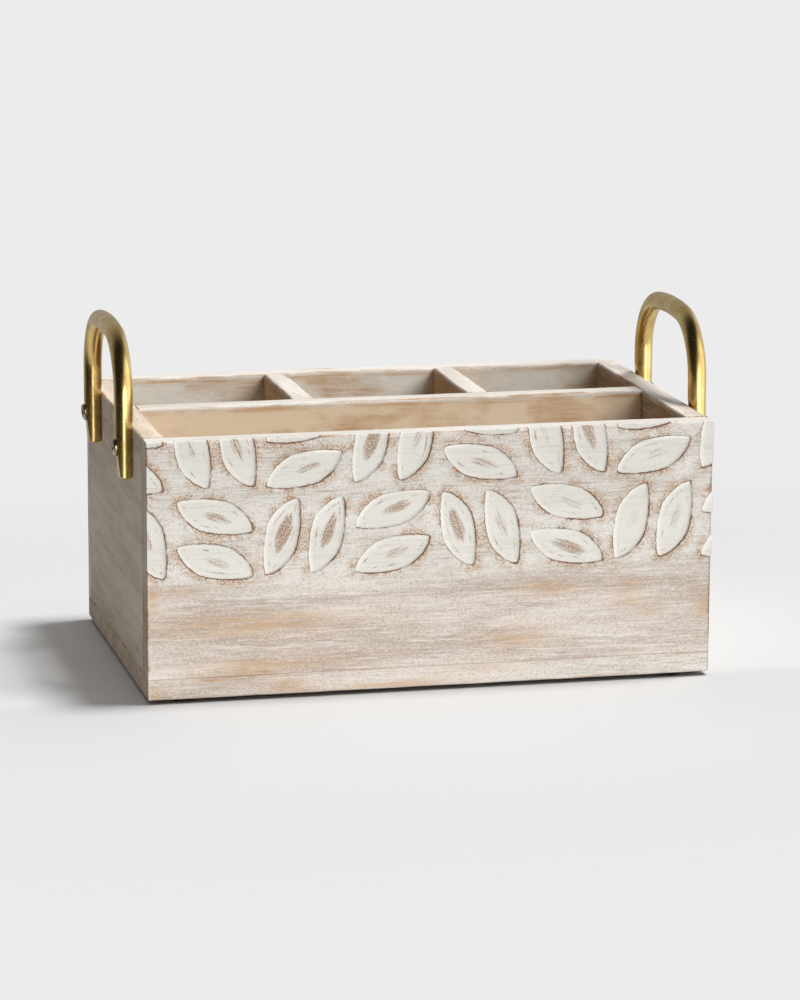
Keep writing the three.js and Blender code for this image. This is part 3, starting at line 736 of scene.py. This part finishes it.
# The front's lattice: close rows and columns over the carved band, wider ones below it
def frontLattice(low, high):
    ends, carvedLow = np.array(frontMesh["edgeSteps"]), rimZ - frontMesh["band"]
    lastX, lastZ = high[0] - frontMesh["lastGap"], high[2] - frontMesh["lastGap"]
    columns = np.arange(low[0] + frontMesh["firstColumn"], lastX, frontMesh["columnPitch"])
    plainRows = np.arange(low[2] + frontMesh["firstRow"], carvedLow - frontMesh["bandGap"],
                          frontMesh["plainPitch"])
    rows = np.arange(carvedLow, lastZ, frontMesh["rowPitch"])
    xs = np.concatenate([low[0] + ends, high[0] - ends, columns])
    zs = np.concatenate([low[2] + ends, high[2] - ends, plainRows, rows])
    ys = np.concatenate([low[1] + ends, high[1] - ends, low[1] + np.array(frontMesh["depths"])])
    xs, ys, zs = (np.unique(side.round(4)) for side in (xs, ys, zs))
    return openBackedBox(xs, ys, zs, frontMesh["backInsets"])


# Moves the points that are close to a leaf's outline onto it, and gives what leafField found, with a
# distance of 0 where it moved one
def snapToLeaves(points, low, high):
    loose, x, z = frontMesh["loose"], points[:, 0], points[:, 2]
    free = (x > low[0] + loose) & (x < high[0] - loose) & (z < high[2] - loose)
    onFront = points[:, 1] < low[1] + frontMesh["skin"]
    distance, away, local = leafField(x, z)
    snapped = onFront & free & (np.abs(distance) < frontMesh["snap"])
    points[snapped, 0] -= (away[:, 0] * distance)[snapped]
    points[snapped, 2] -= (away[:, 1] * distance)[snapped]
    return np.where(snapped, 0.0, distance), away, local


def makeFrontPanel():
    low, high = panelLow.copy(), panelHigh.copy()
    low[1] += carving["height"]
    points, quads, cap = frontLattice(low, high)
    distance, away, local = snapToLeaves(points, low, high)
    x, behind, z = points[:, 0], points[:, 1] - low[1], points[:, 2]
    height = leafHeight(distance)
    nearFront = np.clip(1 - behind / frontWearAndShade["nearFront"], 0, 1)
    leafy = np.clip(height * frontWearAndShade["leafGain"], 0, 1) * nearFront
    edge = edgeDistance(points, low, high)
    edge = np.where(z < low[2] + frontWearAndShade["plainLow"], np.maximum(edge, frontWearAndShade["plainEdge"]), edge)
    paleHeight = z - baseLow[2] - frontWearAndShade["paleFrom"]
    values = {
        "edgeMm": edge + frontWearAndShade["leafEdge"] * leafy,
        "inside": insideMask(points, low, high, frontMesh["insideFace"]),
        "tan": tanPatches(points) * (distance > frontWearAndShade["tanFrom"]),
        "pale": np.clip(paleHeight / frontWearAndShade["paleRun"], 0, 1),
        "leafMm": np.where(behind < frontWearAndShade["leafDepth"], distance, frontWearAndShade["noLeaf"]),
        "inLeaf": local,
        # The leaf's lower right, where the dark line is widened as painted shade
        "shadedLowerRight": away @ np.array(frontWearAndShade["shadedLowerRight"]),
        # Painted shade on the front's left side
        "shadedLeftSide": (x < low[0] + frontWearAndShade["leftSkin"]) * 1.0,
        "crest": crestOvals(x, distance, local),
    }
    for view in ("plan", "front", "side"):
        kept = leafy * frontWearAndShade["leafKept"]
        easeCorners(points, low, high, view, frontMesh[view], frontMesh["seed"], kept=kept)
    points[:, 1] -= height * (1 - np.clip((points[:, 1] - low[1]) / frontMesh["leafReach"], 0, 1))
    piece = putMesh("frontPanel", points, quads, cap, values, sharp=frontMesh["sharp"])
    wood = makeBoardMaterial("frontPanelWood", "x", frontWearAndShade["shift"], plainWearAndShade, carved=True)
    piece.data.materials.append(wood)
    finishPiece(piece, "washed_wood", "front_panel")


makeFrontPanel()
for boardName, boardSettings in boards.items():
    makeBoard(boardName, boardSettings)
print("boards done")

# The handles: a round rod along two legs, two corner bends and a flatter crown, flat where it is seated
# and where it is screwed
handle = {
    "rod": 9.8, "span": 100, "shift": -2.5, "drop": 26.5, "rise": 46, "bend": 32,
    "crownAngle": math.radians(7), "endEase": 0.8, "flatLength": 23, "flatDepth": 2.4,
    "seatDepth": 1.2, "seatRun": 6, "seat": 0.3,
}
# Rings along the rod: steps in shares of the ends' easing, close ones up the legs, even ones over the top
handleMesh = {
    "sides": 64, "endSteps": (0, 0.01, 0.08, 0.3, 0.6, 1.0), "legFrom": 1.2, "legTo": 34, "legPitch": 0.6,
    "topFrom": 35, "topRings": 180, "sharp": 9,
}


# The rod's middle line at distances from its lowest end: leg, corner bend, half the crown, then the same back
def rodLine(distance):
    top = rimZ + handle["rise"]
    legEnd = rimZ - handle["drop"]
    bend, angle, halfSpan = handle["bend"], handle["crownAngle"], handle["span"] / 2
    crown = bend + (halfSpan - bend) / math.sin(angle)
    spring = top - crown + (crown - bend) * math.cos(angle)
    leg, corner = spring - legEnd, bend * (math.pi / 2 - angle)
    half = leg + corner + crown * angle
    side = np.where(distance > half, 1, -1)
    near = half - np.abs(distance - half)
    turn = np.clip((near - leg) / bend, 0, math.pi / 2 - angle)
    last = np.clip((half - near) / crown, 0, angle)
    onCrown = near > leg + corner
    y = np.where(onCrown, crown * np.sin(last), halfSpan - bend * (1 - np.cos(turn)))
    below = np.minimum(legEnd + near, spring) + bend * np.sin(turn)
    z = np.where(onCrown, top - crown * (1 - np.cos(last)), below)
    heading = np.where(onCrown, math.pi / 2 - last, turn)
    return side * y, z, np.sin(heading), -side * np.cos(heading), 2 * half, legEnd


# Where the rod's rings stand along it, from one end to the other
def rodRings(length):
    ends = np.array(handleMesh["endSteps"]) * handle["endEase"]
    legs = np.arange(handleMesh["legFrom"], handleMesh["legTo"], handleMesh["legPitch"])
    overTop = np.linspace(handleMesh["topFrom"], length - handleMesh["topFrom"], handleMesh["topRings"])
    return np.unique(np.concatenate([ends, legs, length - ends, length - legs, overTop]))


def makeHandle(name, node, sign):
    radius, easeEnd, sides = handle["rod"] / 2, handle["endEase"], handleMesh["sides"]
    length, legEnd = rodLine(np.zeros(1))[4:]
    distance = rodRings(length)
    y, z, alongY, alongZ, _, _ = rodLine(distance)
    fromEnd = np.minimum(distance, length - distance)
    shrink = easeEnd - np.sqrt(np.maximum(easeEnd ** 2 - np.maximum(easeEnd - fromEnd, 0) ** 2, 0))
    shrink[[0, -1]] = easeEnd
    around = np.arange(sides) * 2 * np.pi / sides
    ringRadius = (radius - shrink)[:, None]
    plane = panelHigh[0] + handle["seat"] - handle["seatDepth"] + radius
    x = plane + ringRadius * np.cos(around)
    ringY = y[:, None] + ringRadius * np.sin(around) * alongZ[:, None]
    ringZ = z[:, None] - ringRadius * np.sin(around) * alongY[:, None]
    below = np.maximum(legEnd + handle["flatLength"] - ringZ, 0)
    x = np.minimum(x, plane + radius - below * handle["flatDepth"] / handle["flatLength"])
    filed = handle["seatDepth"] * np.clip(1 - (ringZ - rimZ - handle["seat"]) / handle["seatRun"], 0, 1)
    x = np.maximum(x, plane - radius + filed)
    rings = np.stack([sign * x, middleY + handle["shift"] + sign * ringY, ringZ], -1)
    points, quads, caps = ringTube(rings)
    circle = np.stack([np.cos(around), np.sin(around)], -1) * radius
    rodPlace = np.column_stack([np.repeat(distance, sides), np.tile(circle, (len(distance), 1))])
    piece = putMesh(name, points, quads, caps, {"rodMm": rodPlace}, sharp=handleMesh["sharp"])
    piece.data.materials.append(brassMaterial)
    finishPiece(piece, "brass_rod", node)


# Satin brass: soft clouds of tarnish, and fine drawn lines along the rod. Scales are per millimetre.
brass = {
    "cloud": {"scale": 0.12, "detail": 3, "roughness": 0.5},
    "drawn": {"scale": (0.12, 4, 4), "detail": 3, "roughness": 0.6},
    "clean": colour(218, 190, 124), "tarnished": colour(202, 173, 109), "line": colour(152, 124, 66),
    "tarnish": (0.35, 0.65), "lines": (0.52, 0.75, 0, 0.3), "roughness": (0.3, 0.7, 0.2, 0.27),
    "lineRoughness": 0.06, "bump": 0.05, "bumpDepth": 0.0001,
}


def makeBrass():
    material, tree, shader = newMaterial("satinBrass")
    place = attribute(tree, "rodMm", "Vector")
    cloud = noise(tree, place, **brass["cloud"])
    drawn = longNoise(tree, place, **brass["drawn"])
    tone = blendColours(tree, step(tree, cloud, *brass["tarnish"]), brass["clean"], brass["tarnished"])
    tone = blendColours(tree, step(tree, drawn, *brass["lines"]), tone, brass["line"])
    rough = total(tree, step(tree, cloud, *brass["roughness"]), product(tree, drawn, brass["lineRoughness"]))
    normal = bumpNormal(tree, drawn, brass["bump"], brass["bumpDepth"])
    feedAll(tree, shader, {"Base Color": tone, "Roughness": rough, "Normal": normal, "Metallic": 1.0})
    return material


brassMaterial = makeBrass()
makeHandle("leftHandle", "left_handle", -1)
makeHandle("rightHandle", "right_handle", 1)
print("handles done")

# Metal and rubber for the screws, brads and feet, which keep their CAD shape: a dark and a light tone,
# the least roughness, and 1 for metal
smallParts = {
    "bronzedSteel": {"tones": (colour(150, 136, 108), colour(186, 170, 136)), "roughness": 0.16, "metal": 1},
    "platedSteel": {"tones": (colour(168, 168, 162), colour(200, 200, 196)), "roughness": 0.3, "metal": 1},
    "blackRubber": {"tones": (colour(26, 25, 24), colour(36, 34, 32)), "roughness": 0.8, "metal": 0},
}
smallLook = {
    "grain": {"scale": 900, "detail": 3, "roughness": 0.6}, "cloud": {"scale": 260, "detail": 3},
    "tone": (0.35, 0.65), "rough": (0.3, 0.7), "rougher": 0.12, "bump": 0.1, "bumpDepth": 0.0001,
}


def makeSmallPart(name):
    part = smallParts[name]
    material, tree, shader = newMaterial(name)
    place = addNode(tree, "ShaderNodeTexCoord").outputs["Object"]
    fine = noise(tree, place, **smallLook["grain"])
    cloud = noise(tree, place, **smallLook["cloud"])
    roughest = part["roughness"] + smallLook["rougher"]
    rough = step(tree, fine, *smallLook["rough"], part["roughness"], roughest)
    tone = blendColours(tree, step(tree, cloud, *smallLook["tone"]), *part["tones"])
    normal = bumpNormal(tree, fine, smallLook["bump"], smallLook["bumpDepth"])
    feedAll(tree, shader, {
        "Base Color": tone, "Roughness": rough, "Normal": normal, "Metallic": part["metal"],
    })
    return material


darkSteel, brightSteel, rubber = (makeSmallPart(name) for name in smallParts)
for nodeName, node in frame["nodes"].items():
    isFoot = nodeName.endswith("foot")
    kind = darkSteel if "handle_screw" in nodeName else rubber if isFoot else brightSteel
    if "screw" in nodeName or "brad" in nodeName or isFoot:
        node.data.materials.clear()
        node.data.materials.append(kind)

# The floor, in millimetres and shares of white, and a painted shade on it in front of the caddy
ground = {
    "reach": 700, "lines": 9, "colour": 0.82, "fadeStart": 150, "fadeEnd": 420,
    "halfX": 150, "halfY": 96, "paintedFrontShade": 0.92, "frontFrom": -80, "frontTo": -100, "frontReach": 160,
}
# The lamps: the way to each, its width in degrees, its strength and the pieces that it lights
lamps = {
    "overheadSoftbox": {"from": (0.3, 0.0, 0.954), "angle": 14, "strength": 0.72, "lights": "all"},
    "ceilingSoftbox": {"from": (0.05, 0.0, 1.0), "angle": 60, "strength": 0.17, "lights": "all"},
    "frontSoftbox": {"from": (-0.62, -0.74, 0.26), "angle": 14, "strength": 0.82, "lights": "front"},
    "sideSoftbox": {"from": (0.95, 0.31, 0.0), "angle": 14, "strength": 0.32, "lights": "front"},
    "innerSoftbox": {"from": (0.42, -0.8, 0.43), "angle": 26, "strength": 0.72, "lights": "rest"},
}
# The room's brightness, the backdrop's as the camera sees it, and the room's as the metal sees it
levels = {"room": 0.12, "backdrop": 0.8388, "glossyRoom": 0.02}
# What the metal sees: each wall's way, how straight a reflection must look at it, and its level
walls = [
    {"way": (0.75, -0.63, 0.19), "seen": (0.66, 0.84), "level": 1.2},
    {"way": (0.12, -0.985, -0.1), "seen": (0.88, 0.96), "level": 3.3},
    {"way": (0, 1, 0), "seen": (0.1, 0.8), "level": 0.42},
    {"way": (1, 0, 0), "seen": (0.4, 0.95), "level": 0.8},
]


# How far a place on the floor is outside a half size, along one axis
def beyond(tree, along, half):
    return calc(tree, "MAXIMUM", total(tree, calc(tree, "ABSOLUTE", along), -half * mm), 0.0)


# A card that lets the backdrop through a little way from the caddy, so that it has no visible edge
def makeFloor():
    lines = ground["lines"]
    xs = np.linspace(-ground["reach"], ground["reach"], lines)
    gridX, gridY = np.meshgrid(xs, xs, indexing="ij")
    points = np.stack([gridX, gridY, np.zeros(gridX.shape)], -1).reshape(-1, 3)
    floor = putMesh("floor", points, sheetQuads(np.arange(lines * lines).reshape(lines, lines)))
    material, tree, shader = newMaterial("floorCard")
    place = addNode(tree, "ShaderNodeTexCoord").outputs["Object"]
    parts = addNode(tree, "ShaderNodeSeparateXYZ", {0: place}).outputs
    awayX = beyond(tree, parts["X"], ground["halfX"])
    awayY = beyond(tree, parts["Y"], ground["halfY"])
    away = calc(tree, "SQRT", total(tree, product(tree, awayX, awayX), product(tree, awayY, awayY)))
    # Painted shade: the floor's colour is darker in a band in front of the caddy
    ahead = step(tree, parts["Y"], ground["frontFrom"] * mm, ground["frontTo"] * mm)
    shadedInFront = product(tree, ahead, step(tree, away, ground["frontReach"] * mm, 0.0))
    plain, paintedShadeTone = ground["colour"], ground["colour"] * ground["paintedFrontShade"]
    tone = blendColours(tree, shadedInFront, (plain, plain, plain, 1), (paintedShadeTone, paintedShadeTone, paintedShadeTone, 1))
    shown = step(tree, away, ground["fadeEnd"] * mm, ground["fadeStart"] * mm)
    feedAll(tree, shader, {"Base Color": tone, "Alpha": shown, "Roughness": 1.0, "Specular IOR Level": 0.0})
    floor.data.materials.append(material)
    return floor


# A lamp that lights only the things in a list, or everything where the list is empty
def makeSun(name, settings, receivers):
    data = bpy.data.lights.new(name, "SUN")
    data.energy, data.angle = settings["strength"] * math.pi, math.radians(settings["angle"])
    lamp = bpy.data.objects.new(name, data)
    away = np.array(settings["from"])
    tilt = math.acos(away[2] / np.linalg.norm(away))
    lamp.rotation_euler = (tilt, 0, math.atan2(away[1], away[0]) + math.pi / 2)
    lamp.visible_glossy = False
    bpy.context.scene.collection.objects.link(lamp)
    if receivers:
        lit = bpy.data.collections.new(name + "Lights")
        for thing in receivers:
            lit.objects.link(thing)
        lamp.light_linking.receiver_collection = lit


# Pale for the camera and a dim room for the rest. The metal sees a wide panel at the right with a bright
# strip at its front end, a pale wall behind and a dark room elsewhere.
def makeWorld():
    world = bpy.data.worlds.new("studio")
    world.use_nodes = True
    bpy.context.scene.world = world
    tree = world.node_tree
    way = addNode(tree, "ShaderNodeTexCoord").outputs["Generated"]
    paths = addNode(tree, "ShaderNodeLightPath").outputs
    seen = []
    for wall in walls:
        straight = addNode(tree, "ShaderNodeVectorMath", {0: way, 1: wall["way"]}, operation="DOT_PRODUCT")
        seen.append(step(tree, straight.outputs["Value"], *wall["seen"], 0, wall["level"]))
    gloss = total(tree, *seen, levels["glossyRoom"])
    level = blendValues(tree, paths["Is Glossy Ray"], levels["room"], gloss)
    level = blendValues(tree, paths["Is Camera Ray"], level, levels["backdrop"])
    feedAll(tree, tree.nodes["Background"], {"Strength": level, "Color": (1, 1, 1, 1)})


floorPiece = makeFloor()
litThings = {"all": [], "front": [], "rest": []}
for thing in bpy.context.scene.objects:
    if thing.type == "MESH" and thing is not floorPiece:
        litThings["front" if thing.name in ("frontPanel", "baseBoard") else "rest"].append(thing)
for lampName, lampSettings in lamps.items():
    makeSun(lampName, lampSettings, litThings[lampSettings["lights"]])
makeWorld()
print("stage done")
